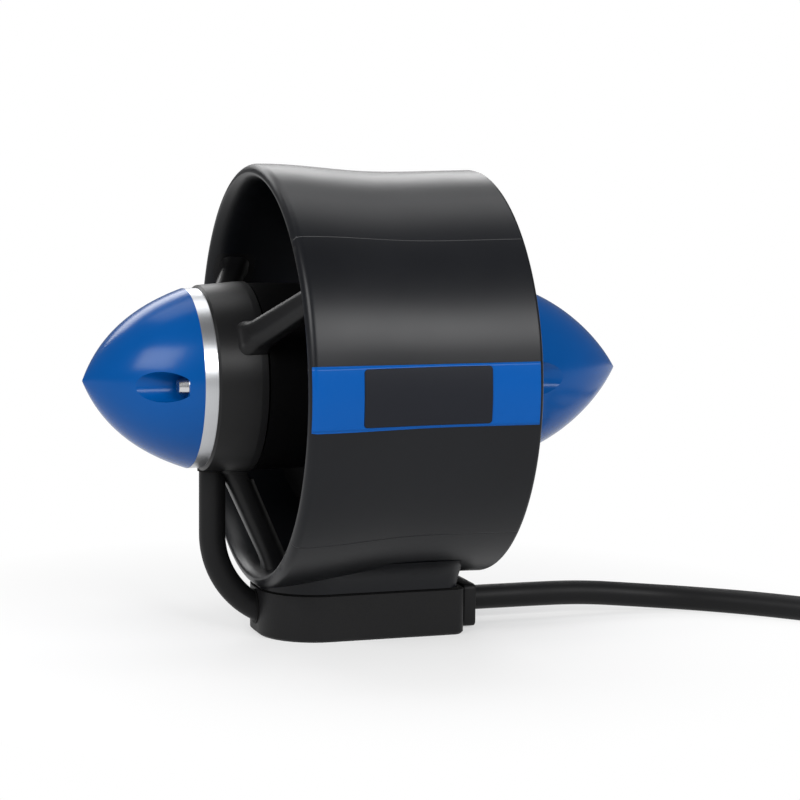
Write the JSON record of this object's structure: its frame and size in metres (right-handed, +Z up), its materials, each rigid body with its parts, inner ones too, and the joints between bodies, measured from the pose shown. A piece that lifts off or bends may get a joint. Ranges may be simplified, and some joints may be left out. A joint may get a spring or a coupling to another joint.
{
  "type": "underwater thruster",
  "caption": "Ducted underwater thruster with a long streamlined hub, a swept-strut inlet, a shoe for its controller and a lead to a round connector.",
  "frame": {"origin": "on the underside of the shoe, at the centre of the threaded mounting holes, straight below the propeller axis", "axes": "+X along the propeller axis towards the tail cone and the cable, +Z up; the inlet faces -X"},
  "size_m": [0.516, 0.2887, 0.2238],
  "materials": {
    "duct_black": "satin black moulding",
    "blue_trim": "blue moulding",
    "dark_plate": "dark printed plate, left bare",
    "frame_black": "black moulding",
    "black_rubber": "matte",
    "turned_aluminium": "turned and clear anodised",
    "stainless": "bright",
    "blue_cone": "satin blue moulding",
    "lamination_steel": "coated steel",
    "copper": "varnished copper",
    "wire_sleeve": "silicone sleeve",
    "bearing_steel": "ground",
    "cable_rubber": "matte black jacket",
    "box_black": "black moulding",
    "brass_insert": "machined",
    "board_green": "solder mask",
    "chip_black": "moulded epoxy",
    "capacitor_can": "drawn can",
    "connector_metal": "knurled steel",
    "cage_brass": "stamped",
    "magnet_nickel": "plated",
    "propeller_black": "black moulding"
  },
  "bodies": {
    "housing": {"duct": "duct_black", "side_band": "blue_trim", "name_plate": "dark_plate", "stator_frame": "frame_black", "lead_grommet": "black_rubber", "motor_mount": "turned_aluminium", "mount_oring": "black_rubber", "bearing_cap": "turned_aluminium", "mount_screws": "stainless", "nose_cone": "blue_cone", "nose_screws": "stainless", "stator_core": "lamination_steel", "stator_windings": "copper", "phase_wires": "wire_sleeve", "bearing_outer_races": "bearing_steel", "shaft_seal": "black_rubber", "motor_lead": "cable_rubber", "entry_grommet": "black_rubber", "control_box": "box_black", "box_gasket": "black_rubber", "box_screws": "stainless", "mount_inserts": "brass_insert", "controller_board": "board_green", "power_transistors": "chip_black", "filter_capacitors": "capacitor_can", "cable_gland": "box_black", "gland_cap": "box_black", "board_wires": "wire_sleeve", "power_cable": "cable_rubber", "cable_coil": "cable_rubber", "cable_tail": "cable_rubber", "connector_boot": "black_rubber", "connector_insert": "chip_black", "connector_pins": "brass_insert", "connector_nut": "connector_metal"},
    "bearing_cage": {"ball_cages": "cage_brass", "bearing_balls": "bearing_steel"},
    "rotor": {"shaft": "stainless", "bearing_inner_races": "bearing_steel", "shaft_clip": "stainless", "shaft_nut": "stainless", "rotor_bell": "turned_aluminium", "rotor_can": "lamination_steel", "rotor_magnets": "magnet_nickel", "propeller": "propeller_black", "prop_screws": "stainless", "tail_plate": "turned_aluminium", "tail_cone": "blue_cone", "tail_screws": "stainless"}
  },
  "joints": [
    {"name": "propeller_spin", "type": "hinge", "parent": "housing", "child": "rotor", "pos_m": [0, 0, 0.123], "axis": [1, 0, 0], "continuous": true},
    {"name": "cage_spin", "type": "hinge", "parent": "housing", "child": "bearing_cage", "pos_m": [0, 0, 0.123], "axis": [1, 0, 0], "continuous": true}
  ],
  "couplings": [
    {"joint": "cage_spin", "follows": "propeller_spin", "ratio": 0.3677}
  ]
}
